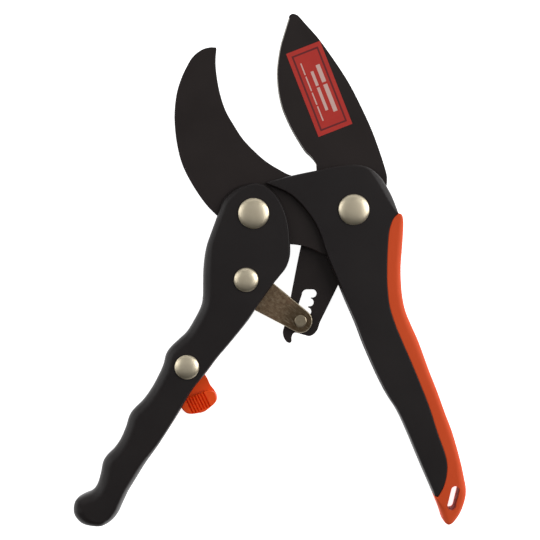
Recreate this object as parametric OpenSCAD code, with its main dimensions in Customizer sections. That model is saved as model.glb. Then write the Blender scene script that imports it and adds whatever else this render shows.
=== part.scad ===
// Ratchet pruning shears, lying open on their back.
// Origin: axis of the main rivet, in the back face of the handles. +Z points out of the front face,
// +Y towards the tips of the blades. The cutting blade closes anticlockwise seen from +Z.

/* [Overall] */
// Length along the cutting blade and the right handle, which all outlines and pivots are drawn to
tool_length = 212; // [170:1:260]
// Thickness of the front cheek and of the back cheek of each handle
cheek_t = 3; // [2.4:0.1:4]
// Wall that joins the two cheeks along the back of each handle
web_t = 2.2; // [1.6:0.1:3]

/* [Blades] */
// Thickness of the cutting blade and its ratchet tail
blade_t = 3; // [2:0.1:4]
// Thickness of the hook blade
hook_t = 3.4; // [2.4:0.1:5]
// Thickness of the label on the cutting blade
label_t = 0.1; // [0.05:0.01:0.15]

/* [Ratchet] */
// Thickness of each ratchet link plate
link_t = 1.8; // [1.2:0.1:2.6]
// Radius of the ratchet pin's shank
pin_r = 1.8; // [1.4:0.1:2]
// Height of the ratchet pin's heads
pin_head_h = 0.8; // [0.5:0.1:1.2]
// How far the ratchet notches reach sideways out of the pin's lane
notch_depth = 2.2; // [1.4:0.1:2.4]
// Number of ratchet notches
notch_count = 4; // [3:1:5]

/* [Rivets] */
// Shank radius of the main rivet
main_shank_r = 4; // [3:0.1:5]
// Head radius of the main rivet and the handle rivet
big_head_r = 6.2; // [5.5:0.1:7]
// Shank radius of the handle rivet
handle_shank_r = 3.5; // [3:0.1:4.5]
// Shank radius of the link rivet and the latch rivet
small_shank_r = 2.6; // [2:0.1:3.2]
// Head radius of the link rivet and the latch rivet
small_head_r = 4.9; // [4:0.1:5.4]
// Height of the domed heads over the front cheek
head_h = 1.7; // [1:0.1:2.5]
// Thickness of the rear washers
washer_t = 0.8; // [0.5:0.1:1.2]
// Height of the peened end behind each rear washer
peened_h = 0.35; // [0.2:0.05:0.5]

/* [Springs] */
// Wire thickness of the opening spring
opening_wire = 1.1; // [0.8:0.1:1.3]
// Turns of the opening spring
opening_turns = 4; // [3:1:4]
// Wire thickness of the link spring
link_wire = 0.7; // [0.5:0.1:0.8]
// Turns of the link spring
link_turns = 3; // [2:1:3]
// Wall of the bush that the opening spring sits on
handle_bush_wall = 1.6; // [1:0.1:2]
// Wall of the bush that the link spring sits on
link_bush_wall = 1.2; // [0.8:0.1:1.4]
// Width of the brass thrust washer's ring
thrust_ring = 4.5; // [3:0.1:5]
// Width of the side washers' rings beside the link and the latch
side_ring = 2; // [1.2:0.1:2.4]

/* [Clearances] */
// Gap between flat pieces that slide past each other
slip = 0.2; // [0.15:0.05:0.4]
// Gap between a fixed rivet and its hole, on the radius
snug = 0.02; // [0.01:0.01:0.04]
// Gap between a rivet and the piece that turns on it, on the radius
running = 0.05; // [0.03:0.01:0.09]
// Gap between the ratchet pin and its lane, on the radius
lane_gap = 0.25; // [0.2:0.05:0.4]

/* [Motion] */
// Angle that the left handle closes through
handle_turn = 47; // [40:1:47]
// Angle that the cutting blade closes through meanwhile
blade_turn = 27.03; // [22:0.01:28]
// Angle that the ratchet link turns through in the left handle meanwhile
link_turn = -48.01; // [-50:0.01:-36]
// Angle that the latch swings out through
latch_turn = 28; // [20:1:30]

/* [Hidden] */

// Outlines are drawn for a tool of this length and scaled to tool_length
drawn_length = 212;
k = tool_length / drawn_length;
round_fn = 64;
// A cut runs this far past the face that it opens
past = 1;
// Straight steps that each stretch of a curve is drawn with
curve_steps = 4;

// Pivots, from the main rivet
handle_pivot = k * [-40, -1.5];
link_pivot = k * [-43, -28];
pin_place = k * [-21.2, -44.5];
latch_pivot = k * [-66.6, -62.8];

// Layers, from the back face up
pin_head_room = 2.5 * slip;
rear_space = slip + link_t + pin_head_h + pin_head_room;
blade_z = cheek_t + rear_space;
blade_top = blade_z + blade_t;
hook_z = blade_top + slip;
hook_top = hook_z + hook_t;
front_z = hook_top + slip / 2;
channel_h = front_z - cheek_t;
handle_t = front_z + cheek_t;
link_back_z = blade_z - slip - link_t;
link_front_z = blade_top + slip;
link_front_top = link_front_z + link_t;
mid_z = blade_z + blade_t / 2;
// The peened ends stay this far inside the back face
recess = 0.05;
washer_z = recess + peened_h;
washer_seat = washer_z + washer_t;

function turned(p, a) = [p.x * cos(a) - p.y * sin(a), p.x * sin(a) + p.y * cos(a)];
function polar(r, a) = r * [cos(a), sin(a)];
function sized(points) = [for (p = points) p * k];
function shifted(points, by) = [for (p = points) p + by];
function backwards(list) = [for (i = [len(list) - 1:-1:0]) list[i]];

// A smooth curve through points: a cubic between each two, with the neighbours giving its slope
function cubic(a, b, c, d, t) =
    (2 * b + (c - a) * t + (2 * a - 5 * b + 4 * c - d) * t * t + (3 * b - a - 3 * c + d) * t * t * t) / 2;
function curve(p) = [
    for (i = [0:len(p) - 2], j = [0:curve_steps - 1])
        cubic(p[max(i - 1, 0)], p[i], p[i + 1], p[min(i + 2, len(p) - 1)], j / curve_steps),
    p[len(p) - 1]
];

// Right handle, mm from the main rivet in a tool of drawn_length
head_top = [
    [-35, 11], [-25, 13.6], [-14.4, 15.8], [-7.8, 17.2], [-2.5, 17.9], [2.2, 17.8], [6.1, 16.7],
    [9.4, 14.4], [12.1, 11.2], [15.4, 5.2], [17.8, -1.4]
];
grip_line = [
    [17.8, -1.4], [15.8, -3.5], [14.6, -6.4], [13.9, -9.6], [13.4, -16.6], [13.2, -23.6],
    [13.3, -30], [14.2, -38.3], [16.5, -45.9], [19.7, -53.6], [24.1, -63.8], [29.8, -78.1],
    [33.4, -89.2], [36.2, -97.1], [37.2, -102], [36.8, -106.9], [35.6, -110.9], [33.4, -114.6]
];
inner_edge = [
    [32.2, -114.2], [27.9, -104.4], [24.8, -97.1], [21.2, -88.5], [17.5, -80.6], [13.2, -73.8],
    [8.9, -65.3], [4, -54.2], [0.6, -45.3], [-3.3, -36.3], [-6.2, -29.3], [-11, -17.9],
    [-13.6, -9.9], [-17.6, -2.5], [-25, 5.5], [-35, 10.4]
];
grip_back = [
    [17.8, -1.4], [19.2, -2], [19.8, -4.4], [19.8, -8.3], [19.4, -14.7], [18.8, -22.3],
    [18.9, -28.7], [19.4, -34.4], [20.6, -40.2], [22.9, -45.9], [26, -52.9], [29.8, -63.4],
    [33.4, -72.6], [36.5, -81.2], [39.5, -89.2], [42.6, -100.2], [44.1, -106.9], [44.9, -111.8],
    [44.4, -116.1], [42.6, -121], [39.9, -124.8], [37.7, -125.8], [35.9, -124.2], [34.4, -119.8],
    [32.2, -114.2]
];
// Where the channel in the right handle ends
right_channel_end = -68 * k;
// How far the body's tongue reaches into the grip, and between which heights along it
tongue = 2.6 * k;
tongue_top = -8 * k;
tongue_end = -104 * k;
// Round ends of the hanging hole
hole_top = k * [40.5, -112];
hole_end = k * [39, -118.2];
hole_r = 1.7;

right_body_outline = concat(
    curve(sized(head_top)), curve(sized(grip_line)), curve(sized(inner_edge))
);
grip_outline = concat(curve(sized(grip_back)), backwards(curve(sized(grip_line))));

module right_channel() {
    wall = shifted(curve(sized(grip_line)), [-web_t, 0]);
    above = [for (p = wall) if (p.y > right_channel_end) p];
    bottom = above[len(above) - 1];
    polygon(concat(
        [k * [-60, 40], k * [20.8, 40], k * [20.8, 6] - [web_t, 0]],
        above,
        [[bottom.x - 4 * k, right_channel_end - 4 * k], k * [-10, -76], k * [-60, -40]]
    ));
}

module bore(p, r, z0, z1) {
    translate([p.x, p.y, z0]) cylinder(r = r, h = z1 - z0, $fn = round_fn);
}

// A rivet's hole through both cheeks, with the seat of its rear washer
module rivet_holes(p, shank_r, head_r) {
    bore(p, shank_r + snug, -past, handle_t + past);
    bore(p, head_r + slip, -past, washer_seat);
}

module right_handle_body() {
    color("#262425") difference() {
        union() {
            linear_extrude(handle_t) polygon(right_body_outline);
            translate([0, 0, cheek_t]) linear_extrude(channel_h) grip_tongue();
        }
        translate([0, 0, cheek_t]) linear_extrude(channel_h) right_channel();
        rivet_holes([0, 0], main_shank_r, big_head_r);
    }
}

// The tongue that the grip is moulded round
module grip_tongue() {
    line = [for (p = curve(sized(grip_line))) if (p.y < tongue_top && p.y > tongue_end) p];
    polygon(concat(line, backwards(shifted(line, [tongue, 0]))));
}

module right_handle_grip() {
    color("#cc5530") difference() {
        linear_extrude(handle_t) polygon(grip_outline);
        translate([0, 0, cheek_t]) linear_extrude(channel_h) grip_tongue();
        translate([0, 0, -past]) linear_extrude(handle_t + 2 * past) hull() {
            translate(hole_top) circle(r = hole_r, $fn = 24);
            translate(hole_end) circle(r = hole_r, $fn = 24);
        }
    }
}

// Hook blade: crescent, boss round the handle rivet, boss round the main rivet
hook_back = [
    [-55.4, 65.1], [-57.5, 65.1], [-60, 64.5], [-62.7, 62.9], [-65, 60.5], [-67, 57],
    [-69.1, 52.4], [-70.9, 46.3], [-71.7, 39], [-71.5, 32.4], [-70.6, 25.7], [-68.9, 19],
    [-66.2, 13], [-62.6, 7], [-58.6, 1.6], [-54.4, -2.6], [-49.5, -7], [-44, -11.2],
    [-38, -12.8], [-31, -13.4], [-24.6, -13.8], [-20.9, -14.3], [-16.3, -15.8], [-12, -17.7],
    [-5, -18], [2, -15.4], [7, -11.4]
];
hook_top_side = [
    [-8, 12.2], [-16, 12.2], [-24.7, 13.7], [-30.4, 16.5], [-35, 19.4], [-39.6, 23.4],
    [-44.3, 28.4], [-48.2, 34.4], [-51.2, 39.7], [-53.4, 46.3], [-54.6, 52.3], [-55.2, 57.6],
    [-55.2, 61.4], [-54.9, 64.6], [-55.4, 65.1]
];
hook_heel_r = 11;

module hook_blade() {
    heel = [for (a = [-50:15:100]) polar(hook_heel_r * k, a)];
    color("#232020") translate([0, 0, hook_z]) difference() {
        linear_extrude(hook_t) polygon(concat(
            curve(sized(hook_back)), heel, curve(sized(hook_top_side))
        ));
        bore([0, 0], main_shank_r + snug, -past, hook_t + past);
        bore(handle_pivot, handle_shank_r + running, -past, hook_t + past);
    }
}

// A low domed head, cut from a ball
module domed_head(r, h) {
    ball_r = (r * r + h * h) / (2 * h);
    intersection() {
        cylinder(r = r, h = h, $fn = round_fn);
        translate([0, 0, h - ball_r]) sphere(r = ball_r, $fn = 96);
    }
}

// A rivet: domed head on a low rim, shank through both cheeks, peened end on the rear washer
module rivet(p, shank_r, head_r) {
    rim = 0.3 * head_h;
    peened_r = (shank_r + head_r) / 2;
    color("#a39a84") {
        bore(p, shank_r, washer_z, handle_t);
        bore(p, peened_r, recess, washer_z);
        bore(p, head_r, handle_t, handle_t + rim);
        translate([p.x, p.y, handle_t + rim]) domed_head(head_r, head_h - rim);
    }
}

module rear_washer(p, shank_r, head_r) {
    color("#8e8a80") difference() {
        bore(p, head_r, washer_z, washer_seat);
        bore(p, shank_r + snug, -past, washer_seat + past);
    }
}

module ring(p, inner_r, outer_r, z0, z1) {
    difference() {
        bore(p, outer_r, z0, z1);
        bore(p, inner_r, z0 - past, z1 + past);
    }
}

module main_rivet() {
    rivet([0, 0], main_shank_r, big_head_r);
}

module main_rivet_washer() {
    rear_washer([0, 0], main_shank_r, big_head_r);
}

module blade_thrust_washer() {
    inner_r = main_shank_r + running;
    color("#b08d57") ring([0, 0], inner_r, inner_r + thrust_ring, cheek_t, blade_z - slip / 2);
}

// Left handle
left_back = [
    [-35.2, 9.8], [-40.3, 10.6], [-45.4, 9.5], [-48.9, 7.5], [-52.2, 3.9], [-54.2, -1.4],
    [-56.9, -8.7], [-59.1, -15.3], [-60.2, -23.6], [-60.4, -34.4], [-61.3, -38.9], [-63.9, -44],
    [-66.6, -48.4], [-69.7, -51.4], [-73.1, -54.6], [-75.1, -57.6], [-76.2, -61.8],
    [-78.2, -66.3], [-81, -71.4], [-84.3, -75.9], [-88.2, -79.8], [-89.9, -82.6],
    [-91.1, -86.5], [-93.3, -91.6], [-96.1, -95.5], [-98.9, -98.3], [-100.4, -101],
    [-101.2, -105], [-102.5, -109.4], [-104.7, -112.4], [-108.1, -114], [-111, -115.9],
    [-112.1, -119.1], [-111.6, -122.4], [-109, -125.3], [-105.1, -126.4], [-100.6, -126.4],
    [-97.2, -124.7], [-94.6, -121.6], [-92.8, -117.8]
];
left_front = [
    [-90.5, -112.9], [-87.5, -108], [-83.4, -101.4], [-78.2, -94.1], [-72.1, -84.6],
    [-68.5, -78.6], [-64.3, -71.7], [-59, -65.2], [-54.7, -59.4], [-49, -52.7],
    [-42.3, -44.3], [-38.6, -38.6], [-35.5, -34.3], [-32.5, -30.1], [-29.5, -26.4], [-27, -23],
    [-25.5, -18.5], [-25.4, -13.4], [-25.9, -6.8], [-27.2, -1.4], [-29.2, 3.2], [-31.9, 7.2],
    [-35.2, 9.8]
];
left_outline = concat(curve(sized(left_back)), curve(sized(left_front)));
// The channel's wall follows the back between these heights
left_wall_top = -9 * k;
left_wall_end = -60 * k;

module left_channel() {
    wall = shifted(curve(sized(left_back)), [web_t, 0]);
    beside = [for (p = wall) if (p.y < left_wall_top && p.y > left_wall_end) p];
    polygon(concat(
        [k * [-15, 20], k * [-70, 20], k * [-70, -4]],
        beside,
        sized([[-72.6, -66], [-73.4, -74], [-73.4, -82], [-66, -90], [-52, -76], [-30, -44], [-15, -30]])
    ));
}

module left_handle_body() {
    color("#262425") difference() {
        linear_extrude(handle_t) polygon(left_outline);
        translate([0, 0, cheek_t]) linear_extrude(channel_h) left_channel();
        rivet_holes(handle_pivot, handle_shank_r, big_head_r);
        rivet_holes(link_pivot, small_shank_r, small_head_r);
        rivet_holes(latch_pivot, small_shank_r, small_head_r);
    }
}

module handle_rivet() {
    rivet(handle_pivot, handle_shank_r, big_head_r);
}

module handle_rivet_washer() {
    rear_washer(handle_pivot, handle_shank_r, big_head_r);
}

handle_bush_r = handle_shank_r + snug + handle_bush_wall;

module handle_spacer() {
    inner_r = handle_shank_r + snug;
    color("#8e8a80") ring(handle_pivot, inner_r, handle_bush_r, cheek_t, hook_z - slip / 2);
}

// Length of the straight legs of both springs
spring_leg = 7 * k;

// A torsion spring: wire swept along a helix, with a straight leg at each end
module torsion_spring(p, coil_r, wire, turns, z0, z1, leg_in, leg_out) {
    sides = 8;
    per_turn = 16;
    climb = z1 - z0 - wire;
    coil = [
        for (i = [0:turns * per_turn]) let (a = leg_in + 90 + i * 360 / per_turn)
            [coil_r * cos(a), coil_r * sin(a), z0 + wire / 2 + climb * i / (turns * per_turn)]
    ];
    first = coil[0];
    last = coil[len(coil) - 1];
    path = concat(
        [first + spring_leg * [cos(leg_in), sin(leg_in), 0]],
        coil,
        [last + spring_leg * [cos(leg_out), sin(leg_out), 0]]
    );
    rings = len(path);
    points = [
        for (i = [0:rings - 1])
            let (
                before = path[max(i - 1, 0)],
                after = path[min(i + 1, rings - 1)],
                along = atan2(after.y - before.y, after.x - before.x)
            )
            for (j = [0:sides - 1]) let (b = j * 360 / sides)
                path[i] + wire / 2 * [-sin(along) * cos(b), cos(along) * cos(b), sin(b)]
    ];
    faces = concat(
        [[for (j = [0:sides - 1]) j]],
        [
            for (i = [0:rings - 2], j = [0:sides - 1]) let (n = (j + 1) % sides)
                [i * sides + j, (i + 1) * sides + j, (i + 1) * sides + n, i * sides + n]
        ],
        [[for (j = [sides - 1:-1:0]) (rings - 1) * sides + j]]
    );
    translate([p.x, p.y, 0]) polyhedron(points, faces);
}

module opening_spring() {
    coil_r = handle_bush_r + opening_wire / 2 + slip;
    color("#a9a9ad") torsion_spring(
        handle_pivot, coil_r, opening_wire, opening_turns, cheek_t + slip, hook_z - slip, 250, 340
    );
}

module link_rivet() {
    rivet(link_pivot, small_shank_r, small_head_r);
}

module link_rivet_washer() {
    rear_washer(link_pivot, small_shank_r, small_head_r);
}

module link_side_washers() {
    color("#8e8a80") {
        side_washer(link_pivot, cheek_t, link_back_z - slip / 2);
        side_washer(link_pivot, link_front_top + slip / 2, front_z);
    }
}

module side_washer(p, z0, z1) {
    inner_r = small_shank_r + snug;
    ring(p, inner_r, inner_r + side_ring, z0, z1);
}

// Ratchet link: two plates between the link rivet and the ratchet pin
link_big_r = 6 * k;
link_small_r = 4.7 * k;
// The lobe beside the link rivet that the link spring pushes on
lobe_place = link_pivot + k * [-1.2, -3];
// The pin's heads stand this far out round its shank, and the shank goes this far into them
pin_head_step = 0.7;
pin_head_grip = 0.5;
link_bush_r = small_shank_r + running + link_bush_wall;

// A flat bar between two round ends, as two circles and the four points where its sides touch them
module bar(p, p_r, q, q_r, h) {
    aim = atan2(q.y - p.y, q.x - p.x);
    touch = acos((p_r - q_r) / norm(q - p));
    bore(p, p_r, 0, h);
    bore(q, q_r, 0, h);
    linear_extrude(h) polygon([
        p + polar(p_r, aim + touch), p + polar(p_r, aim - touch),
        q + polar(q_r, aim - touch), q + polar(q_r, aim + touch)
    ]);
}

module link_plate(z) {
    color("#6b594a") translate([0, 0, z]) difference() {
        union() {
            bar(link_pivot, link_big_r, pin_place, link_small_r, link_t);
            bar(lobe_place, link_big_r, pin_place, link_small_r, link_t);
        }
        bore(link_pivot, small_shank_r + running, -past, link_t + past);
        bore(pin_place, pin_r + snug, -past, link_t + past);
    }
}

module ratchet_link_front() {
    link_plate(link_front_z);
}

module ratchet_link_back() {
    link_plate(link_back_z);
}

module ratchet_pin() {
    head_r = pin_r + pin_head_step;
    color("#877c6b") {
        bore(pin_place, head_r, link_back_z - pin_head_h, link_back_z);
        bore(pin_place, pin_r, link_back_z - pin_head_grip, link_front_top + pin_head_grip);
        bore(pin_place, head_r, link_front_top, link_front_top + pin_head_h);
    }
}

module link_spacer() {
    inner_r = small_shank_r + running;
    color("#8e8a80") ring(link_pivot, inner_r, link_bush_r, link_back_z + link_t, link_front_z);
}

module link_spring() {
    coil_r = link_bush_r + link_wire / 2 + slip;
    color("#a9a9ad") torsion_spring(
        link_pivot, coil_r, link_wire, link_turns, link_back_z + link_t + slip / 2,
        link_front_z - slip / 2, 200, 310
    );
}

// Cutting blade with its ratchet tail
blade_back = [
    [-24.4, 79], [-22.8, 78.6], [-21.6, 77.6], [-18.6, 74.2], [-13.6, 68.5], [-6.2, 58.1],
    [-1.3, 50.3], [2.9, 42.1], [6.9, 33.5], [10.1, 25.1], [13, 16.1], [13.6, 12], [12.8, 7],
    [10.6, 1], [8.6, -6], [4.4, -12.6], [-1.5, -20], [-6, -29.9], [-13.4, -45]
];
tail_end = [
    [-13.7, -45.9], [-14.5, -48.2], [-16, -49.9], [-17.8, -50.6], [-20.2, -50], [-23.2, -49.2],
    [-24.4, -49.9], [-24.8, -51.4], [-24.8, -52.7], [-25.6, -53.4], [-26.9, -52.8], [-28, -51],
    [-28.3, -48.8], [-27.7, -46.6]
];
blade_front = [
    [-25.2, -35.1], [-21.2, -15], [-18.4, -4], [-16, 6], [-14.9, 14.6], [-15.1, 18.4],
    [-17.1, 21.1], [-19.4, 23.3], [-22, 27.2], [-24.7, 31.8], [-26.8, 36.1], [-28.8, 41],
    [-30.2, 47], [-30.8, 53], [-30.7, 57.8], [-29.6, 65.2], [-28.1, 70.5], [-26.3, 76.4],
    [-25.6, 78.3], [-24.4, 79]
];
label_size = k * [14.6, 35.8];
label_centre = k * [-13.7, 48.7];
label_tilt = 21.4;

// Where the pin is in the blade at a share t of the closing motion
function pin_in_blade(t) =
    let (
        link_now = handle_pivot + turned(link_pivot - handle_pivot, t * handle_turn),
        pin_now = link_now + turned(pin_place - link_pivot, t * (handle_turn + link_turn))
    )
    turned(pin_now, -t * blade_turn);

// The pin's lane through the tail, with the ratchet notches on its right
module pin_slot() {
    r = pin_r + lane_gap;
    notch_r = 0.8 * r;
    steps = 10;
    lane = [for (i = [0:steps]) pin_in_blade(i / steps)];
    polygon(concat(shifted(lane, [-r, 0]), backwards(shifted(lane, [r, 0]))));
    translate(lane[0]) circle(r = r, $fn = 48);
    translate(lane[steps]) circle(r = r, $fn = 48);
    // the pin starts slowly along the lane, so equal steps need larger first shares of the motion
    slow_start = 0.27;
    for (i = [1:notch_count - 1]) {
        share = i / (notch_count - 1);
        p = pin_in_blade(share * (1 + slow_start - slow_start * share)) + [0, r - notch_r];
        hull() {
            translate(p) circle(r = notch_r, $fn = 24);
            translate(p + [notch_depth, 0]) circle(r = notch_r, $fn = 24);
        }
    }
}

module cutting_blade() {
    color("#262222") translate([0, 0, blade_z]) difference() {
        linear_extrude(blade_t) difference() {
            polygon(concat(
                curve(sized(blade_back)), curve(sized(tail_end)), curve(sized(blade_front))
            ));
            pin_slot();
        }
        bore([0, 0], main_shank_r + running, -past, blade_t + past);
    }
}

module blade_label() {
    color("#c8353a") translate([label_centre.x, label_centre.y, blade_top]) rotate(label_tilt)
        translate([-label_size.x / 2, -label_size.y / 2, 0])
            cube([label_size.x, label_size.y, label_t]);
}

// Latch: a web that turns on the latch rivet, and a thick ribbed thumb pad
latch_arm = [
    [-63.4, -59.4], [-60.6, -62.4], [-59.9, -65.5], [-58.5, -68], [-57.4, -70.5], [-55.7, -73],
    [-57, -76], [-68, -77], [-69.2, -73], [-70.4, -68], [-71, -63.6], [-69.6, -60],
    [-66.6, -58.2], [-63.4, -59.4]
];
latch_pad = [
    [-58.5, -72.1], [-55.7, -72.9], [-54.8, -75.4], [-55.4, -77.2], [-57.7, -79.3],
    [-59.8, -80.8], [-62.3, -81.4], [-65.6, -81.7], [-67.7, -80.8], [-69.2, -78.6],
    [-69, -76.2], [-65.6, -74.9], [-58.5, -72.1]
];
latch_web_t = 4;
pad_gap = 0.4;
// Gap between the tail's finger and its pocket in the latch
catch_gap = 0.35;

// The latch's web lies level with the tail, to catch its finger
web_z = mid_z - latch_web_t / 2;

module latch() {
    pad_z = cheek_t + pad_gap;
    pad_h = channel_h - 2 * pad_gap;
    color("#d93a12") difference() {
        union() {
            translate([0, 0, web_z]) linear_extrude(latch_web_t) polygon(curve(sized(latch_arm)));
            translate([0, 0, pad_z]) linear_extrude(pad_h) polygon(curve(sized(latch_pad)));
        }
        bore(latch_pivot, small_shank_r + running, 0, handle_t);
        translate([0, 0, blade_z - catch_gap]) linear_extrude(blade_t + 2 * catch_gap) latch_catch();
    }
}

module about(p, a) {
    translate(p) rotate(a) translate(-p) children();
}

// The pocket in the latch that holds the tail's finger when the shears are shut and locked:
// the finger's own outline, swept back along the latch's swing
module latch_catch() {
    steps = 8;
    tail = concat(curve(sized(tail_end)), sized([[-25.2, -40], [-15, -42]]));
    for (i = [0:steps])
        about(latch_pivot, -latch_turn * i / steps)
            about(handle_pivot, -handle_turn)
                about([0, 0], blade_turn)
                    offset(delta = catch_gap) polygon(tail);
}

module latch_rivet() {
    rivet(latch_pivot, small_shank_r, small_head_r);
}

module latch_rivet_washer() {
    rear_washer(latch_pivot, small_shank_r, small_head_r);
}

module latch_side_washers() {
    color("#8e8a80") {
        side_washer(latch_pivot, cheek_t, web_z - slip / 2);
        side_washer(latch_pivot, web_z + latch_web_t + slip / 2, front_z);
    }
}

right_handle_body();
right_handle_grip();
hook_blade();
main_rivet();
main_rivet_washer();
blade_thrust_washer();
left_handle_body();
handle_rivet();
handle_rivet_washer();
handle_spacer();
opening_spring();
link_rivet();
link_rivet_washer();
link_side_washers();
ratchet_link_front();
ratchet_link_back();
ratchet_pin();
link_spacer();
link_spring();
cutting_blade();
blade_label();
latch();
latch_rivet();
latch_rivet_washer();
latch_side_washers();
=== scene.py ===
import math

import bmesh
import bpy
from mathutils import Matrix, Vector


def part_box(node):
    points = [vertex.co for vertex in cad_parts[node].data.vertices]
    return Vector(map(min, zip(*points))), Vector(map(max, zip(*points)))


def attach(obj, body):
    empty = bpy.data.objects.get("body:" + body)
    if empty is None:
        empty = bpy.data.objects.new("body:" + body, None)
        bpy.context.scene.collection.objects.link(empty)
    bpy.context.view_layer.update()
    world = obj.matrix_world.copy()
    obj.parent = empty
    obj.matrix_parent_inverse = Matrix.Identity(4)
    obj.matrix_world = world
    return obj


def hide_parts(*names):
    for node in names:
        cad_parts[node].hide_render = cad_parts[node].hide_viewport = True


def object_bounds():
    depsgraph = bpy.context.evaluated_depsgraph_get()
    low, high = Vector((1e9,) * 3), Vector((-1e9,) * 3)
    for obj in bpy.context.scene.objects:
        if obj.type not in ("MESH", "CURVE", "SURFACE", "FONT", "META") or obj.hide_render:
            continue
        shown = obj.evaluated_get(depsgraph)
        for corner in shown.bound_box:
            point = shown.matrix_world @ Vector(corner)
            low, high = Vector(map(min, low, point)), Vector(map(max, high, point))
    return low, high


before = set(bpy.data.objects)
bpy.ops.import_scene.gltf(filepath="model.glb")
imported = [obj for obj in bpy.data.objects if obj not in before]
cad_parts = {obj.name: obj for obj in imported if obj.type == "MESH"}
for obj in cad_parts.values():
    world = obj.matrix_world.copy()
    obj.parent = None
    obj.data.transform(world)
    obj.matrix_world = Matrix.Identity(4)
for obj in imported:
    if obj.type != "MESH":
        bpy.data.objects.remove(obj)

cad_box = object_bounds()


# ---------------------------------------------------------------- studio
# The shears lie on their back on a white sheet under a top-down camera. Two long soft boxes at
# the left and right give the rivets their bright rims, and the sheet throws the rest of the light.

def linear(hex_colour):
    channels = [int(hex_colour[i:i + 2], 16) / 255 for i in (1, 3, 5)]
    return [c / 12.92 if c <= 0.04045 else ((c + 0.055) / 1.055) ** 2.4 for c in channels] + [1]


def add(tree, kind, inputs=(), **settings):
    """Adds one node: settings are its own, inputs are values or other nodes' outputs."""
    node = tree.nodes.new(kind)
    for name, value in settings.items():
        setattr(node, name, value)
    for name, value in dict(inputs).items():
        if isinstance(value, bpy.types.NodeSocket):
            tree.links.new(value, node.inputs[name])
        else:
            node.inputs[name].default_value = value
    return node


def new_material(name):
    """An empty material with its output node; returns the material, its tree and its output."""
    material = bpy.data.materials.new(name)
    material.use_nodes = True
    material.node_tree.nodes.clear()
    output = add(material.node_tree, "ShaderNodeOutputMaterial")
    return material, material.node_tree, output


MM = 0.001
view_centre = Vector((-33.47, -24.05, 0)) * MM
view_height = 916 * MM
view_width = 214.9 * MM

camera = bpy.data.cameras.new("camera")
camera.lens = 150
camera.sensor_width = camera.lens * view_width / (view_height - cad_box[1][2])
camera_object = bpy.data.objects.new("camera", camera)
camera_object.location = view_centre + Vector((0, 0, view_height))
bpy.context.collection.objects.link(camera_object)
bpy.context.scene.camera = camera_object
bpy.context.scene.view_settings.view_transform = "Standard"

bpy.ops.object.select_all(action="DESELECT")
bpy.ops.mesh.primitive_plane_add(size=6, location=(0, 0, -0.02 * MM))
sheet = bpy.context.object
sheet.name = "studio_sheet"
white, tree, output = new_material("matt white paper on a light table")
paper = add(tree, "ShaderNodeBsdfPrincipled", {
    "Base Color": linear("#fbfbfb"), "Roughness": 0.9, "Emission Color": linear("#ffffff"),
    "Emission Strength": 0.95})
tree.links.new(paper.outputs[0], output.inputs[0])
sheet.data.materials.append(white)


def soft_box(name, place, aim, width, height, power):
    lamp = bpy.data.lights.new(name, "AREA")
    lamp.shape = "RECTANGLE"
    lamp.size = width
    lamp.size_y = height
    lamp.energy = power
    lamp_object = bpy.data.objects.new(name, lamp)
    lamp_object.location = place
    lamp_object.rotation_euler = (Vector(aim) - Vector(place)).to_track_quat("-Z", "Y").to_euler()
    bpy.context.collection.objects.link(lamp_object)


soft_box("left_box", (-1.15, 0.35, 0.7), view_centre, 0.8, 1.4, 5)
soft_box("right_box", (1.05, 0.3, 0.75), view_centre, 0.8, 1.4, 13)
soft_box("far_box", (0.0, 1.3, 0.9), view_centre, 1.8, 0.7, 3)

# the room: dim straight above, palest at the sides and fading out towards the near and far ends
world = bpy.data.worlds.new("studio")
bpy.context.scene.world = world
world.use_nodes = True
room = world.node_tree
room.nodes.clear()
direction = add(room, "ShaderNodeTexCoord").outputs["Generated"]
_, far, up = add(room, "ShaderNodeSeparateXYZ", {"Vector": direction}).outputs
ceiling = add(room, "ShaderNodeMapRange", {
    "Value": up, "From Min": 0.7, "From Max": 0.98, "To Min": 0.5, "To Max": 0.34},
    interpolation_type="SMOOTHSTEP")
near_wall = add(room, "ShaderNodeMapRange", {
    "Value": far, "From Min": -0.38, "From Max": 0.12, "To Min": 0.12, "To Max": 1.15},
    interpolation_type="SMOOTHSTEP")
far_wall = add(room, "ShaderNodeMapRange", {
    "Value": far, "From Min": 0.2, "From Max": 0.55, "To Min": 1.0, "To Max": 0.25},
    interpolation_type="SMOOTHSTEP")
ends = add(room, "ShaderNodeMath", {0: near_wall.outputs[0], 1: far_wall.outputs[0]},
           operation="MULTIPLY")
level = add(room, "ShaderNodeMath", {0: ceiling.outputs[0], 1: ends.outputs[0]},
            operation="MULTIPLY")
sky = add(room, "ShaderNodeBackground", {"Color": linear("#ffffff"), "Strength": level.outputs[0]})
add(room, "ShaderNodeOutputWorld", {"Surface": sky.outputs[0]})


# ---------------------------------------------------------------- right handle body
# The upper handle: one injection moulding in glass-filled nylon, two cheeks joined by a web, with
# the hook blade and the ratchet tail in the channel between them. The mould's outer edges are
# well rounded, the edges round the channel only just.

def take(piece):
    """Makes a piece the only one selected, and the active one."""
    bpy.ops.object.select_all(action="DESELECT")
    piece.select_set(True)
    bpy.context.view_layer.objects.active = piece


def merged_copy(node, name):
    """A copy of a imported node's shape with its loose triangles merged."""
    piece = bpy.data.objects.new(name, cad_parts[node].data.copy())
    bpy.context.collection.objects.link(piece)
    piece.data.materials.clear()
    take(piece)
    bpy.ops.object.mode_set(mode="EDIT")
    bpy.ops.mesh.select_all(action="SELECT")
    bpy.ops.mesh.remove_doubles(threshold=0.002 * MM)
    bpy.ops.object.mode_set(mode="OBJECT")
    if piece.data.has_custom_normals:
        bpy.ops.mesh.customdata_custom_splitnormals_clear()
    return piece


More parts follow.
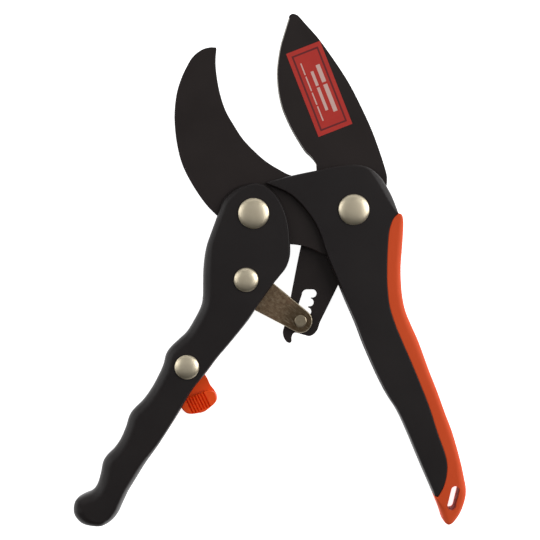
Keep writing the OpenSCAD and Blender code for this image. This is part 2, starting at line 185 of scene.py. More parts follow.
def outline(piece):
    """The outer corners of a piece's top face, anticlockwise, each with its outward direction."""
    top = max(c[2] for c in piece.bound_box)
    mesh = bmesh.new()
    mesh.from_mesh(piece.data)
    flat = {f for f in mesh.faces
            if f.normal.z > 0.99 and f.calc_center_median().z > top - 0.01 * MM}
    rim = {e for f in flat for e in f.edges if sum(other in flat for other in e.link_faces) == 1}
    loops = []
    while rim:
        edge = rim.pop()
        corners = [edge.verts[0], edge.verts[1]]
        while step := next((e for e in corners[-1].link_edges if e in rim), None):
            rim.discard(step)
            corners.append(step.other_vert(corners[-1]))
        loops.append([v.co.xy.to_3d() for v in corners[:-1]])
    mesh.free()
    loop = max(loops, key=lambda points: sum((a - b).length for a, b in zip(points, points[1:])))
    if sum(a.x * b.y - b.x * a.y for a, b in zip(loop, loop[1:] + loop[:1])) < 0:
        loop.reverse()
    outward = []
    for before, here, after in zip(loop[-1:] + loop, loop, loop[1:] + loop[:1]):
        along = (after - here).normalized() + (here - before).normalized()
        outward.append(Vector((along.y, -along.x, 0)).normalized())
    return loop, outward


def round_over(piece, radius_at, steps, height_at=lambda p, n: 1):
    """Rolls a piece's outer edges over, by cutting it to a plate of its own outline with rounded
    edges. The radius is what radius_at gives for a corner and its outward direction, or less
    where the piece is narrow or turns sharply; height_at is how many times as high as wide the
    rounding is there."""
    loop, outward = outline(piece)
    count = len(loop)
    limits = []
    for p, n in zip(loop, outward):
        away = [q - p for q in loop]
        limits.append(0.85 * min(
            d.length_squared / (-2 * d.dot(n)) for d in away if d.dot(n) < -1e-7))
    radii = [min(radius_at(p, n), limit) for p, n, limit in zip(loop, outward, limits)]
    for _ in range(2):
        for order in (range(count), range(count - 1, -1, -1)):
            step = order.step
            for i in order:
                before = (i - step) % count
                radii[i] = min(radii[i], radii[before] + 0.5 * (loop[i] - loop[before]).length)
    for _ in range(4):
        radii = [min(limits[i], (radii[i - 1] + 2 * radii[i] + radii[(i + 1) % count]) / 4)
                 for i in range(count)]
    # the plate stands proud by this, so that no two faces of the cut coincide
    spare = 0.01 * MM
    top = max(c[2] for c in piece.bound_box) + spare
    bottom = min(c[2] for c in piece.bound_box) - spare
    arc = [math.pi / 2 * i / steps for i in range(steps + 1)]
    rings = [(t, bottom, 1) for t in reversed(arc)] + [(t, top, -1) for t in arc]
    heights = [r * height_at(p, n) for p, n, r in zip(loop, outward, radii)]
    points = [(p.x + n.x * (spare - r * (1 - math.cos(t))),
               p.y + n.y * (spare - r * (1 - math.cos(t))),
               z + side * h * (1 - math.sin(t)))
              for t, z, side in rings for p, n, r, h in zip(loop, outward, radii, heights)]
    walls = [[a + i, a + (i + 1) % count, a + count + (i + 1) % count, a + count + i]
             for a in range(0, len(points) - count, count) for i in range(count)]
    mesh = bpy.data.meshes.new("plate")
    ends = [range(count)[::-1], range(len(points) - count, len(points))]
    mesh.from_pydata(points, [], walls + ends)
    plate = bpy.data.objects.new("plate", mesh)
    bpy.context.collection.objects.link(plate)
    trim = piece.modifiers.new("round over", "BOOLEAN")
    trim.operation = "INTERSECT"
    trim.solver = "MANIFOLD"
    trim.object = plate
    take(piece)
    bpy.ops.object.modifier_apply(modifier=trim.name)
    piece.data.materials.clear()
    bpy.data.objects.remove(plate)


def smooth(piece, angle=32):
    """Shades smooth over edges flatter than the angle, with the flats kept flat."""
    take(piece)
    bpy.ops.object.shade_smooth_by_angle(angle=math.radians(angle))
    weigh = piece.modifiers.new("weigh", "WEIGHTED_NORMAL")
    weigh.keep_sharp = True
    bpy.ops.object.modifier_apply(modifier=weigh.name)


def finish(piece, material, body, node):
    """Dresses a piece, ties it to its body and lets it stand for its CAD node."""
    if not piece.data.materials:
        piece.data.materials.append(material)
    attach(piece, body)
    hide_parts(node)


def ease(low, high, value):
    t = min(max((value - low) / (high - low), 0), 1)
    return t * t * (3 - 2 * t)


MAIN_PIVOT = Vector((0, 0, 0))


def right_body_radius(p, n):
    if n.x > 0.25 and p.y < -1.5 * MM:
        return 0.35 * MM
    shoulder = ease(0.35, 0.85, n.x) * ease(-4 * MM, 6 * MM, p.y)
    return (0.8 + 2.0 * shoulder) * MM


right_body = merged_copy("right_handle_body", "right_handle_shell")
round_over(right_body, right_body_radius, 6, lambda p, n: 1 + 2.4 * ease(0.1, 0.6, -n.x))
smooth(right_body)

# Nylon moulded against a spark-eroded steel: an even matt grain, with the resin lying a little
# glossier in broad soft patches.
nylon, tree, output = new_material("satin black glass-filled nylon")
where = add(tree, "ShaderNodeTexCoord").outputs["Object"]
grain = add(tree, "ShaderNodeTexNoise", {"Vector": where, "Scale": 1 / (0.5 * MM), "Detail": 3.0})
patches = add(tree, "ShaderNodeTexNoise", {"Vector": where, "Scale": 1 / (22 * MM), "Detail": 2.0})
gloss = add(tree, "ShaderNodeMapRange", {
    "Value": patches.outputs[0], "From Min": 0.3, "From Max": 0.7, "To Min": 0.4, "To Max": 0.5})
tint = add(tree, "ShaderNodeMix", {
    "Factor": patches.outputs[0], "A": linear("#191415"), "B": linear("#1e1918")}, data_type="RGBA")
bump = add(tree, "ShaderNodeBump", {
    "Height": grain.outputs[0], "Strength": 0.15, "Distance": 0.05 * MM})
shader = add(tree, "ShaderNodeBsdfPrincipled", {
    "Base Color": tint.outputs["Result"], "Roughness": gloss.outputs[0],
    "Normal": bump.outputs[0], "IOR": 1.38})
tree.links.new(shader.outputs[0], output.inputs[0])
finish(right_body, nylon, "root", "right_handle_body")


# ---------------------------------------------------------------- right handle grip
# A strip of orange soft-touch elastomer, moulded on to the nylon body in a second shot. It wraps
# the back of the handle, closes the lower end and is pierced there by the hanging slot.

def grip_radius(p, n):
    outside = ease(0.1, 0.6, n.x) if p.y > -116 * MM else 1
    return (0.4 + 2.6 * outside) * MM if p.y > -112 * MM else (0.8 + 1.7 * outside) * MM


grip = merged_copy("right_handle_grip", "right_handle_strip")
round_over(grip, grip_radius, 6)
smooth(grip)

# Thermoplastic elastomer off a fine-blasted mould: no sharp reflections, only a broad soft sheen,
# and the colour runs a little deeper where the strip is thick.
elastomer, tree, output = new_material("orange soft-touch elastomer")
where = add(tree, "ShaderNodeTexCoord").outputs["Object"]
grain = add(tree, "ShaderNodeTexNoise", {"Vector": where, "Scale": 1 / (0.4 * MM), "Detail": 2.0})
depth = add(tree, "ShaderNodeTexNoise", {"Vector": where, "Scale": 1 / (25 * MM), "Detail": 2.0})
tint = add(tree, "ShaderNodeMix", {
    "Factor": depth.outputs[0], "A": linear("#d5491d"), "B": linear("#db5427")}, data_type="RGBA")
bump = add(tree, "ShaderNodeBump", {
    "Height": grain.outputs[0], "Strength": 0.2, "Distance": 0.05 * MM})
shader = add(tree, "ShaderNodeBsdfPrincipled", {
    "Base Color": tint.outputs["Result"], "Roughness": 0.65, "Normal": bump.outputs[0],
    "IOR": 1.3})
tree.links.new(shader.outputs[0], output.inputs[0])
finish(grip, elastomer, "root", "right_handle_grip")


# ---------------------------------------------------------------- hook blade
# The lower jaw: a crescent stamped from 3.4 mm steel, its edges broken, sprayed black with a
# non-stick coating and baked. It is riveted between the right handle's cheeks.

def join_flats(piece):
    """Makes quads of the triangles in the walls, and whole faces of those in the flats."""
    take(piece)
    bpy.ops.object.mode_set(mode="EDIT")
    bpy.ops.mesh.select_all(action="SELECT")
    bpy.ops.mesh.tris_convert_to_quads(face_threshold=math.radians(0.3), shape_threshold=math.pi)
    bpy.ops.mesh.select_all(action="DESELECT")
    mesh = bmesh.from_edit_mesh(piece.data)
    for face in mesh.faces:
        face.select_set(abs(face.normal.z) > 0.999)
    bpy.ops.mesh.dissolve_limited(angle_limit=math.radians(0.3))
    bpy.ops.object.mode_set(mode="OBJECT")


def soften(piece, radius_at, steps, edge_slot=-1):
    """Rounds the edges between a piece's end faces and its walls, each to the radius that
    radius_at gives for the edge's middle and its wall's outward direction. The rounding takes
    the material in edge_slot, or its neighbours' at -1."""
    join_flats(piece)
    heights = [min(c[2] for c in piece.bound_box), max(c[2] for c in piece.bound_box)]
    mesh = bmesh.new()
    mesh.from_mesh(piece.data)
    weight = mesh.edges.layers.float.new("bevel_weight_edge")
    radii = {}
    for edge in mesh.edges:
        middle = (edge.verts[0].co + edge.verts[1].co) / 2
        level = all(any(abs(v.co.z - z) < 0.01 * MM for z in heights) for v in edge.verts)
        tilts = sorted(edge.link_faces, key=lambda face: abs(face.normal.z))
        if (level and len(tilts) == 2 and abs(tilts[0].normal.z) < 0.1
                and abs(tilts[1].normal.z) > 0.99):
            radii[edge] = radius_at(middle, tilts[0].normal)
    widest = max(radii.values())
    for edge, radius in radii.items():
        edge[weight] = radius / widest
    mesh.to_mesh(piece.data)
    mesh.free()
    bevel = piece.modifiers.new("soften", "BEVEL")
    bevel.limit_method = "WEIGHT"
    bevel.width = widest
    bevel.segments = steps
    bevel.use_clamp_overlap = False
    bevel.loop_slide = False
    bevel.material = edge_slot
    take(piece)
    bpy.ops.object.modifier_apply(modifier=bevel.name)


hook = merged_copy("hook_blade", "hook_jaw")
soften(hook, lambda p, n: 0.35 * MM, 3)
smooth(hook)

# Baked PTFE coating: nearly even, with a faint orange peel and a dry, slightly brownish sheen.
coating, tree, output = new_material("black baked non-stick coating")
where = add(tree, "ShaderNodeTexCoord").outputs["Object"]
peel = add(tree, "ShaderNodeTexNoise", {"Vector": where, "Scale": 1 / (0.7 * MM), "Detail": 2.0})
spray = add(tree, "ShaderNodeTexNoise", {"Vector": where, "Scale": 1 / (14 * MM), "Detail": 3.0})
gloss = add(tree, "ShaderNodeMapRange", {
    "Value": spray.outputs[0], "From Min": 0.3, "From Max": 0.7, "To Min": 0.42, "To Max": 0.54})
tint = add(tree, "ShaderNodeMix", {
    "Factor": spray.outputs[0], "A": linear("#1e1716"), "B": linear("#251d1b")}, data_type="RGBA")
bump = add(tree, "ShaderNodeBump", {
    "Height": peel.outputs[0], "Strength": 0.1, "Distance": 0.05 * MM})
shader = add(tree, "ShaderNodeBsdfPrincipled", {
    "Base Color": tint.outputs["Result"], "Roughness": gloss.outputs[0],
    "Normal": bump.outputs[0], "IOR": 1.36})
tree.links.new(shader.outputs[0], output.inputs[0])
finish(hook, coating, "root", "hook_blade")


# ---------------------------------------------------------------- left handle body
# The lower handle: the same nylon, two cheeks with finger waves along the back. Its back edges are
# rolled over widely to suit the fingers, and the edges beside the link stay crisp.

HANDLE_PIVOT = Vector((-40, -1.5, 0)) * MM
LINK_PIVOT = Vector((-43, -28, 0)) * MM
LATCH_PIVOT = Vector((-66.6, -62.8, 0)) * MM


def left_body_radius(p, n):
    behind = ease(-0.15, 0.6, -n.x)
    walled = ease(-12 * MM, -20 * MM, p.y)
    lower = ease(-90 * MM, -105 * MM, p.y)
    return (0.7 + 1.2 * lower + behind * (2.1 + walled * 1.1 - 0.6 * lower)) * MM


left_body = merged_copy("left_handle_body", "left_handle_shell")
round_over(left_body, left_body_radius, 6, lambda p, n: 1 + 2.8 * ease(0.1, 0.6, n.x))
smooth(left_body)
finish(left_body, nylon, "left_handle", "left_handle_body")


# ---------------------------------------------------------------- rivets
# Four cold-headed steel rivets join the stack: a flat crowned head in front, a shank through both
# cheeks and a peened end on a washer behind. They are barrel-finished and plated with nickel.

HEAD_HEIGHT = 1.7 * MM
HEAD_RIM = 0.3 * MM
HEAD_CHAMFER = 0.12 * MM
PEENED_HEIGHT = 0.4 * MM
CROWN_STEPS = 18


def rivet(node, body, centre, head_r, shank_r):
    low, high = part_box(node)
    seat = high.z - HEAD_HEIGHT
    rim = HEAD_RIM
    peened_r = (shank_r + head_r) / 2
    profile = [(0, low.z), (peened_r - 0.5 * MM, low.z), (peened_r, low.z + 0.15 * MM),
               (peened_r, PEENED_HEIGHT), (shank_r, PEENED_HEIGHT), (shank_r, seat),
               (head_r - HEAD_CHAMFER, seat), (head_r, seat + HEAD_CHAMFER)]
    for i in range(CROWN_STEPS + 1):
        out = math.cos(math.pi / 2 * i / CROWN_STEPS)
        crown = (1 - out ** 2.6) ** 0.55
        profile.append((head_r * out, seat + rim + (high.z - seat - rim) * crown))
    mesh = bpy.data.meshes.new(node + "_turned")
    mesh.from_pydata([(centre.x + r, centre.y, z) for r, z in profile],
                     [(i, i + 1) for i in range(len(profile) - 1)], [])
    piece = bpy.data.objects.new(node + "_turned", mesh)
    bpy.context.collection.objects.link(piece)
    take(piece)
    bpy.ops.object.mode_set(mode="EDIT")
    bpy.ops.mesh.select_all(action="SELECT")
    bpy.ops.mesh.spin(steps=72, angle=2 * math.pi, center=centre, axis=(0, 0, 1))
    bpy.ops.mesh.select_all(action="SELECT")
    bpy.ops.mesh.remove_doubles(threshold=0.002 * MM)
    bpy.ops.mesh.normals_make_consistent(inside=False)
    bpy.ops.object.mode_set(mode="OBJECT")
    smooth(piece, 40)
    finish(piece, nickel, body, node)


# Satin nickel: warm, softly blurred reflections, with the faint dents and scuffs of the barrel.
nickel, tree, output = new_material("satin nickel plate")
where = add(tree, "ShaderNodeTexCoord").outputs["Object"]
scuffs = add(tree, "ShaderNodeTexNoise", {"Vector": where, "Scale": 1 / (0.8 * MM), "Detail": 5.0})
cloud = add(tree, "ShaderNodeTexNoise", {"Vector": where, "Scale": 1 / (4 * MM), "Detail": 3.0})
gloss = add(tree, "ShaderNodeMapRange", {
    "Value": scuffs.outputs[0], "From Min": 0.35, "From Max": 0.65, "To Min": 0.38, "To Max": 0.44})
tint = add(tree, "ShaderNodeMix", {
    "Factor": cloud.outputs[0], "A": linear("#dccfb3"), "B": linear("#e7dcc3")}, data_type="RGBA")
bump = add(tree, "ShaderNodeBump", {
    "Height": scuffs.outputs[0], "Strength": 0.03, "Distance": 0.03 * MM})
shader = add(tree, "ShaderNodeBsdfPrincipled", {
    "Base Color": tint.outputs["Result"], "Metallic": 1.0, "Roughness": gloss.outputs[0],
    "Normal": bump.outputs[0]})
tree.links.new(shader.outputs[0], output.inputs[0])

rivet("main_rivet", "root", MAIN_PIVOT, 6.2 * MM, 4 * MM)
rivet("handle_rivet", "left_handle", HANDLE_PIVOT, 6.2 * MM, 3.5 * MM)
rivet("link_rivet", "left_handle", LINK_PIVOT, 4.9 * MM, 2.6 * MM)
rivet("latch_rivet", "left_handle", LATCH_PIVOT, 4.9 * MM, 2.6 * MM)


# ---------------------------------------------------------------- washers and spacers
# Stamped and turned rings that space the stack: bright zinc-plated steel, and one of brass where
# the cutting blade turns on the back cheek.

def wear(node, material):
    """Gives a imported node, whose shape is already right, its finish."""
    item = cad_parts[node]
    item.data.materials.clear()
    item.data.materials.append(material)


zinc, tree, output = new_material("bright zinc-plated steel")
where = add(tree, "ShaderNodeTexCoord").outputs["Object"]
spangle = add(tree, "ShaderNodeTexNoise", {"Vector": where, "Scale": 1 / (1.2 * MM), "Detail": 4.0})
gloss = add(tree, "ShaderNodeMapRange", {
    "Value": spangle.outputs[0], "From Min": 0.35, "From Max": 0.65, "To Min": 0.28,
    "To Max": 0.45})
tint = add(tree, "ShaderNodeMix", {
    "Factor": spangle.outputs[0], "A": linear("#9a9a98"), "B": linear("#c2c1bc")}, data_type="RGBA")
shader = add(tree, "ShaderNodeBsdfPrincipled", {
    "Base Color": tint.outputs["Result"], "Metallic": 1.0, "Roughness": gloss.outputs[0]})
tree.links.new(shader.outputs[0], output.inputs[0])
for node in ("main_rivet_washer", "handle_rivet_washer", "link_rivet_washer", "latch_rivet_washer",
             "handle_spacer", "link_side_washers", "link_spacer", "latch_side_washers"):
    wear(node, zinc)

brass, tree, output = new_material("turned brass")
where = add(tree, "ShaderNodeTexCoord").outputs["Object"]
tarnish = add(tree, "ShaderNodeTexNoise", {"Vector": where, "Scale": 1 / (2 * MM), "Detail": 4.0})
tint = add(tree, "ShaderNodeMix", {
    "Factor": tarnish.outputs[0], "A": linear("#9c7a3c"), "B": linear("#c9a45c")}, data_type="RGBA")
shader = add(tree, "ShaderNodeBsdfPrincipled", {
    "Base Color": tint.outputs["Result"], "Metallic": 1.0, "Roughness": 0.35})
tree.links.new(shader.outputs[0], output.inputs[0])
wear("blade_thrust_washer", brass)


# ---------------------------------------------------------------- springs
# Two torsion springs of hard-drawn wire: the large one under the left handle's head pushes the
# handles apart, the small one inside the link flicks the pin into the next notch.

def torsion_spring(node, centre, coil_r, wire, turns, leg_in, leg_out, leg):
    low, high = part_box(node)
    bottom, top = low.z + wire / 2, high.z - wire / 2
    points = []
    steps = int(turns * 32)
    for i in range(steps + 1):
        a = math.radians(leg_in + 90) + math.tau * i / 32
        points.append((centre.x + coil_r * math.cos(a), centre.y + coil_r * math.sin(a),
                       bottom + (top - bottom) * i / steps))
    first = [points[0][0] + leg * math.cos(math.radians(leg_in)),
             points[0][1] + leg * math.sin(math.radians(leg_in)), bottom]
    last = [points[-1][0] + leg * math.cos(math.radians(leg_out)),
            points[-1][1] + leg * math.sin(math.radians(leg_out)), top]
    points = [first] + points + [last]
    curve = bpy.data.curves.new(node + "_wire", "CURVE")
    curve.dimensions = "3D"
    curve.bevel_depth = wire / 2
    curve.bevel_resolution = 3
    curve.use_fill_caps = True
    line = curve.splines.new("POLY")
    line.points.add(len(points) - 1)
    for point, place in zip(line.points, points):
        point.co = (*place, 1)
    piece = bpy.data.objects.new(node + "_wire", curve)
    bpy.context.collection.objects.link(piece)
    take(piece)
    bpy.ops.object.convert(target="MESH")
    piece = bpy.context.object
    bpy.ops.object.mode_set(mode="EDIT")
    bpy.ops.mesh.select_all(action="SELECT")
    bpy.ops.mesh.remove_doubles(threshold=0.001 * MM)
    bpy.ops.mesh.normals_make_consistent(inside=False)
    bpy.ops.object.mode_set(mode="OBJECT")
    smooth(piece, 50)
    return piece


# Oil-tempered wire: drawn smooth, so its gloss is high, with a bluish cast left by the heat.
spring_wire, tree, output = new_material("oil-tempered spring wire")
where = add(tree, "ShaderNodeTexCoord").outputs["Object"]
oil = add(tree, "ShaderNodeTexNoise", {"Vector": where, "Scale": 1 / (1.5 * MM), "Detail": 3.0})
gloss = add(tree, "ShaderNodeMapRange", {
    "Value": oil.outputs[0], "From Min": 0.35, "From Max": 0.65, "To Min": 0.2, "To Max": 0.34})
tint = add(tree, "ShaderNodeMix", {
    "Factor": oil.outputs[0], "A": linear("#7f8186"), "B": linear("#adaeb2")}, data_type="RGBA")
shader = add(tree, "ShaderNodeBsdfPrincipled", {
    "Base Color": tint.outputs["Result"], "Metallic": 1.0, "Roughness": gloss.outputs[0]})
tree.links.new(shader.outputs[0], output.inputs[0])

opening = torsion_spring("opening_spring", HANDLE_PIVOT, 5.87 * MM, 1.1 * MM, 4, 250, 340, 7 * MM)
finish(opening, spring_wire, "left_handle", "opening_spring")
flick = torsion_spring("link_spring", LINK_PIVOT, 4.4 * MM, 0.7 * MM, 3, 200, 310, 7 * MM)
finish(flick, spring_wire, "ratchet_link", "link_spring")


# ---------------------------------------------------------------- ratchet link and pin
# Two stamped plates with a pin peened between them: the link pulls the blade's tail round, one
# notch at a time. The plates are left as they come from the press, oiled and browned.

bare, tree, output = new_material("browned mild steel")
where = add(tree, "ShaderNodeTexCoord").outputs["Object"]
blotch = add(tree, "ShaderNodeTexNoise", {"Vector": where, "Scale": 1 / (1.6 * MM), "Detail": 6.0,
                                          "Roughness": 0.7})
rust = add(tree, "ShaderNodeTexNoise", {"Vector": where, "Scale": 1 / (5 * MM), "Detail": 3.0})
blotch_shade = add(tree, "ShaderNodeValToRGB", {"Fac": blotch.outputs[0]})
ramp = blotch_shade.color_ramp
ramp.elements[0].position, ramp.elements[0].color = 0.3, linear("#67533f")
ramp.elements[1].position, ramp.elements[1].color = 0.72, linear("#aa967c")
ramp.elements.new(0.5).color = linear("#867058")
rust_share = add(tree, "ShaderNodeMapRange", {
    "Value": rust.outputs[0], "From Min": 0.52, "From Max": 0.72, "To Min": 0.0, "To Max": 0.3})
tint = add(tree, "ShaderNodeMix", {
    "Factor": rust_share.outputs[0], "A": blotch_shade.outputs[0], "B": linear("#86523f")},
    data_type="RGBA")
# painted shade: the plates' colour darkens to olive towards the pin, strongest at its foot,
# standing in for the shade there together with grime
pin_low, pin_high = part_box("ratchet_pin")
pin_centre = (pin_low + pin_high) / 2
in_plan = add(tree, "ShaderNodeVectorMath", {0: where, 1: (1, 1, 0)}, operation="MULTIPLY")
reach = add(tree, "ShaderNodeVectorMath", {
    0: in_plan.outputs[0], 1: (pin_centre.x, pin_centre.y, 0)}, operation="DISTANCE")
pin_shade_and_grime = add(tree, "ShaderNodeMapRange", {
    "Value": reach.outputs["Value"], "From Min": 2.6 * MM, "From Max": 11.0 * MM, "To Min": 0.65,
    "To Max": 0.0}, interpolation_type="SMOOTHSTEP")
shaded_and_grimed = add(tree, "ShaderNodeMix", {
    "Factor": pin_shade_and_grime.outputs[0], "A": tint.outputs["Result"], "B": linear("#39311f")},
    data_type="RGBA")
drag = add(tree, "ShaderNodeMapping", {
    "Vector": where, "Scale": (1, 7, 1), "Rotation": (0, 0, math.radians(52))},
    vector_type="TEXTURE")
lines = add(tree, "ShaderNodeTexNoise", {"Vector": drag.outputs[0], "Scale": 1 / (0.35 * MM),
                                         "Detail": 2.0})
line_share = add(tree, "ShaderNodeMapRange", {
    "Value": lines.outputs[0], "From Min": 0.58, "From Max": 0.7, "To Min": 0.0, "To Max": 0.3})
scratched = add(tree, "ShaderNodeMix", {
    "Factor": line_share.outputs[0], "A": shaded_and_grimed.outputs["Result"], "B": linear("#c4b69c")},
    data_type="RGBA")
gloss = add(tree, "ShaderNodeMapRange", {
    "Value": blotch.outputs[0], "From Min": 0.3, "From Max": 0.7, "To Min": 0.52, "To Max": 0.34})
bump = add(tree, "ShaderNodeBump", {
    "Height": blotch.outputs[0], "Strength": 0.15, "Distance": 0.08 * MM})
shader = add(tree, "ShaderNodeBsdfPrincipled", {
    "Base Color": scratched.outputs["Result"], "Metallic": 0.9, "Roughness": gloss.outputs[0],
    "Normal": bump.outputs[0]})
tree.links.new(shader.outputs[0], output.inputs[0])

# painted highlight: the plates' rounded edges take a paler steel colour than their faces, standing
# in for the bright line of light they catch
painted_edge_highlight, tree, output = new_material("steel edge with painted highlight")
where = add(tree, "ShaderNodeTexCoord").outputs["Object"]
highlight_mottle = add(tree, "ShaderNodeTexNoise", {"Vector": where, "Scale": 1 / (1.1 * MM), "Detail": 4.0})
tint = add(tree, "ShaderNodeMix", {
    "Factor": highlight_mottle.outputs[0], "A": linear("#8d8069"), "B": linear("#d8ccb4")}, data_type="RGBA")
shader = add(tree, "ShaderNodeBsdfPrincipled", {
    "Base Color": tint.outputs["Result"], "Metallic": 1.0, "Roughness": 0.4})
tree.links.new(shader.outputs[0], output.inputs[0])

for node, name in (("ratchet_link_front", "link_plate_front"),
                   ("ratchet_link_back", "link_plate_back")):
    plate = merged_copy(node, name)
    plate.data.materials.append(bare)
    # slot 1, which the rounded edges take, is the painted edge highlight
    plate.data.materials.append(painted_edge_highlight)
    soften(plate, lambda p, n: 0.35 * MM, 3, edge_slot=1)
    smooth(plate)
    finish(plate, bare, "ratchet_link", node)

# the pin is harder and paler, and its peened heads are worn bright by the hammer
peened, tree, output = new_material("peened tool steel")
where = add(tree, "ShaderNodeTexCoord").outputs["Object"]
dents = add(tree, "ShaderNodeTexNoise", {"Vector": where, "Scale": 1 / (0.9 * MM), "Detail": 3.0})
tint = add(tree, "ShaderNodeMix", {
    "Factor": dents.outputs[0], "A": linear("#93866f"), "B": linear("#b8ab94")}, data_type="RGBA")
bump = add(tree, "ShaderNodeBump", {
    "Height": dents.outputs[0], "Strength": 0.15, "Distance": 0.05 * MM})
shader = add(tree, "ShaderNodeBsdfPrincipled", {
    "Base Color": tint.outputs["Result"], "Metallic": 1.0, "Roughness": 0.38,
    "Normal": bump.outputs[0]})
tree.links.new(shader.outputs[0], output.inputs[0])
pin = merged_copy("ratchet_pin", "peened_pin")
soften(pin, lambda p, n: 0.45 * MM, 5)
smooth(pin)
finish(pin, peened, "ratchet_link", "ratchet_pin")


# ---------------------------------------------------------------- cutting blade
# The upper jaw, of hardened carbon steel, coated like the hook. Its edge is ground afterwards, so
# the wide bevel behind and the fine honed line in front are bare bright steel. The bevel runs out
# before the point.

# the edge is on the hook's side of this line, the blade's back on the other
EDGE_SIDE_X = -14 * MM


def edge_line(piece, height, low_y, high_y):
    """The points and outward directions down the cutting edge, from the heel to the tip."""
    mesh = bmesh.new()
    mesh.from_mesh(piece.data)
    walls = [f for f in mesh.faces if abs(f.normal.z) < 0.1 and f.normal.x < 0.2]
    points = {}
    for wall in walls:
        for v in wall.verts:
            if (abs(v.co.z - height) < 0.01 * MM and low_y < v.co.y < high_y
                    and v.co.x < EDGE_SIDE_X):
                points[v.index] = (v.co.copy(), points.get(v.index, (0, Vector()))[1] + wall.normal)
    mesh.free()
    return sorted(((p, n.normalized()) for p, n in points.values()), key=lambda item: item[0].y)


def grind(piece, line, from_z, to_z, width_at):
    """Grinds a bevel along the edge: from_z at the edge itself, to_z at width_at(share) inside."""
    spare = 0.4 * MM
    points, faces = [], []
    for i, (p, n) in enumerate(line):
        width = width_at(i / (len(line) - 1))
        slope = (from_z - to_z) / width
        beyond = to_z - math.copysign(spare, slope)
        inner = width + spare / abs(slope)
        outer = p + n * spare
        points.append((outer.x, outer.y, from_z + slope * spare))
        points.append((outer.x, outer.y, beyond))
        points.append((p.x - n.x * inner, p.y - n.y * inner, beyond))
    for i in range(len(line) - 1):
        for a, b in ((0, 1), (1, 2), (2, 0)):
            faces.append([3 * i + a, 3 * i + b, 3 * i + 3 + b, 3 * i + 3 + a])
    last = 3 * len(line) - 3
    faces += [[2, 1, 0], [last, last + 1, last + 2]]
    mesh = bpy.data.meshes.new("wheel")
    mesh.from_pydata(points, [], faces)
    wheel = bpy.data.objects.new("wheel", mesh)
    bpy.context.collection.objects.link(wheel)
    take(wheel)
    bpy.ops.object.mode_set(mode="EDIT")
    bpy.ops.mesh.select_all(action="SELECT")
    bpy.ops.mesh.normals_make_consistent(inside=False)
    bpy.ops.object.mode_set(mode="OBJECT")
    take(piece)
    cut = piece.modifiers.new("grind", "BOOLEAN")
    cut.operation = "DIFFERENCE"
    cut.solver = "MANIFOLD"
    cut.object = wheel
    bpy.ops.object.modifier_apply(modifier=cut.name)
    piece.data.materials.clear()
    bpy.data.objects.remove(wheel)


def back_bevel_width(share):
    """The bevel behind, at a share of the way from the heel to the point: it widens from the
    heel and runs out towards the point."""
    return (0.6 + 5.4 * ease(0, 0.16, share) * (1 - 0.9 * ease(0.86, 1, share))) * MM


def front_line_width(share):
    return (0.2 + 0.35 * ease(0, 0.1, share)) * MM


HEEL_Y = 17.5 * MM
POINT_Y = 77.6 * MM

blade = merged_copy("cutting_blade", "cutting_jaw")
blade_low, blade_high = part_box("cutting_blade")
honed = edge_line(blade, blade_high.z, HEEL_Y, POINT_Y)
grind(blade, honed, blade_high.z - 0.5 * MM, blade_low.z, back_bevel_width)
grind(blade, honed, blade_high.z - 0.3 * MM, blade_high.z, front_line_width)
ground = [f.index for f in blade.data.polygons if 0.05 < abs(f.normal.z) < 0.995]
blade.data.materials.append(coating)

honed_steel, tree, output = new_material("freshly ground carbon steel")
where = add(tree, "ShaderNodeTexCoord").outputs["Object"]
lay = add(tree, "ShaderNodeMapping", {
    "Vector": where, "Scale": (12, 1, 1), "Rotation": (0, 0, math.radians(-15))},
    vector_type="TEXTURE")
scratches = add(tree, "ShaderNodeTexNoise", {"Vector": lay.outputs[0], "Scale": 1 / (0.25 * MM),
                                             "Detail": 3.0})
gloss = add(tree, "ShaderNodeMapRange", {
    "Value": scratches.outputs[0], "From Min": 0.3, "From Max": 0.7, "To Min": 0.22, "To Max": 0.4})
bump = add(tree, "ShaderNodeBump", {
    "Height": scratches.outputs[0], "Strength": 0.2, "Distance": 0.03 * MM})
shader = add(tree, "ShaderNodeBsdfPrincipled", {
    "Base Color": linear("#b9b6b0"), "Metallic": 1.0, "Roughness": gloss.outputs[0],
    "Normal": bump.outputs[0]})
tree.links.new(shader.outputs[0], output.inputs[0])
blade.data.materials.append(honed_steel)
for index in ground:
    blade.data.polygons[index].material_index = 1
soften(blade, lambda p, n: 0.25 * MM, 3)
smooth(blade)
finish(blade, coating, "cutting_blade", "cutting_blade")


# ---------------------------------------------------------------- blade label
# A printed vinyl sticker on the blade: glossy red with a thin darker frame, and plain pale bars
# where such a label has its words.

label_low, label_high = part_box("blade_label")
label_centre = (label_low + label_high) / 2
LABEL_TILT = math.radians(21.4)

vinyl, tree, output = new_material("printed glossy red vinyl")
where = add(tree, "ShaderNodeTexCoord").outputs["Object"]
flat = add(tree, "ShaderNodeMapping", {
    "Vector": where, "Location": label_centre, "Rotation": (0, 0, LABEL_TILT)},
    vector_type="TEXTURE")
across, along, _ = add(tree, "ShaderNodeSeparateXYZ", {"Vector": flat.outputs[0]}).outputs


def combine(operation, *values):
    """A Math node of the given operation."""
    return add(tree, "ShaderNodeMath", enumerate(values), operation=operation).outputs[0]


def block(x, y, half_x, half_y):
    """1 inside a rectangle of the label, 0 outside."""
    from_x = combine("ABSOLUTE", combine("SUBTRACT", across, x * MM))
    in_x = combine("LESS_THAN", from_x, half_x * MM)
    from_y = combine("ABSOLUTE", combine("SUBTRACT", along, y * MM))
    in_y = combine("LESS_THAN", from_y, half_y * MM)
    return combine("MULTIPLY", in_x, in_y)


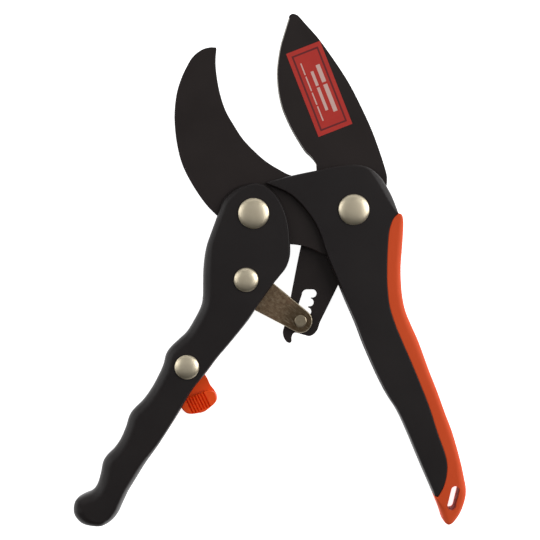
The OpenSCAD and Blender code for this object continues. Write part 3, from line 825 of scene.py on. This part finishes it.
ink = add(tree, "ShaderNodeTexNoise", {"Vector": where, "Scale": 1 / (6 * MM), "Detail": 3.0})
red = add(tree, "ShaderNodeMix", {
    "Factor": ink.outputs[0], "A": linear("#b5231c"), "B": linear("#c43326")}, data_type="RGBA")
frame_line = combine("SUBTRACT", block(0, 0, 5.7, 16.1), block(0, 0, 5.0, 15.4))
framed = add(tree, "ShaderNodeMix", {
    "Factor": frame_line, "A": red.outputs["Result"], "B": linear("#661519")}, data_type="RGBA")
bars = block(2.9, 5.6, 0.85, 3.7)
for x, y, half_x, half_y in ((2.9, -4.9, 0.85, 5.8),
                             (-0.2, 4.5, 0.6, 3.1), (-0.2, -4.2, 0.6, 4.9),
                             (-3.2, 9.7, 0.26, 2.5), (-3.2, 3.4, 0.26, 3.1),
                             (-3.2, -3.0, 0.26, 2.6), (-3.2, -9.4, 0.26, 3.1)):
    bars = combine("MAXIMUM", bars, block(x, y, half_x, half_y))
printed = add(tree, "ShaderNodeMix", {
    "Factor": bars, "A": framed.outputs["Result"], "B": linear("#d9b3aa")}, data_type="RGBA")
shader = add(tree, "ShaderNodeBsdfPrincipled", {
    "Base Color": printed.outputs["Result"], "Roughness": 0.3, "IOR": 1.5, "Coat Weight": 0.3,
    "Coat Roughness": 0.1})
tree.links.new(shader.outputs[0], output.inputs[0])
wear("blade_label", vinyl)


# ---------------------------------------------------------------- latch
# The safety catch: a thumb lever in glossy orange-red ABS that hooks over the tail when the shears
# are shut. Grooves across the thick pad keep the thumb from slipping.

catch = merged_copy("latch", "thumb_latch")
latch_low, latch_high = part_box("latch")
soften(catch, lambda p, n: 0.5 * MM, 4)
GROOVE_PITCH = 1.21 * MM
GROOVE_HALF_WIDTH = 0.4 * MM
GROOVE_LENGTH = 6.6 * MM
GROOVE_LEAN = math.radians(26)
pad_centre = Vector((-62.25, -77.3, 0)) * MM
for side in (latch_low.z, latch_high.z):
    for i in range(-3, 4):
        across_pad = Vector((math.cos(GROOVE_LEAN), math.sin(GROOVE_LEAN), 0))
        bpy.ops.object.select_all(action="DESELECT")
        bpy.ops.mesh.primitive_cylinder_add(
            vertices=24, radius=GROOVE_HALF_WIDTH, depth=GROOVE_LENGTH, scale=(1, 2.4, 1),
            location=pad_centre + across_pad * (i * GROOVE_PITCH) + Vector((0, 0, side)),
            rotation=(math.pi / 2, 0, GROOVE_LEAN))
        groove = bpy.context.object
        take(catch)
        cut = catch.modifiers.new("groove", "BOOLEAN")
        cut.operation = "DIFFERENCE"
        cut.solver = "MANIFOLD"
        cut.object = groove
        bpy.ops.object.modifier_apply(modifier=cut.name)
        bpy.data.objects.remove(groove)
catch.data.materials.clear()
join_flats(catch)
smooth(catch)

abs_plastic, tree, output = new_material("glossy orange-red ABS")
where = add(tree, "ShaderNodeTexCoord").outputs["Object"]
flow = add(tree, "ShaderNodeTexNoise", {"Vector": where, "Scale": 1 / (7 * MM), "Detail": 3.0})
scuff = add(tree, "ShaderNodeTexNoise", {"Vector": where, "Scale": 1 / (0.6 * MM), "Detail": 3.0})
tint = add(tree, "ShaderNodeMix", {
    "Factor": flow.outputs[0], "A": linear("#f84a08"), "B": linear("#ff5610")}, data_type="RGBA")
gloss = add(tree, "ShaderNodeMapRange", {
    "Value": scuff.outputs[0], "From Min": 0.3, "From Max": 0.7, "To Min": 0.34, "To Max": 0.42})
shader = add(tree, "ShaderNodeBsdfPrincipled", {
    "Base Color": tint.outputs["Result"], "Roughness": gloss.outputs[0], "IOR": 1.42})
tree.links.new(shader.outputs[0], output.inputs[0])
finish(catch, abs_plastic, "latch", "latch")
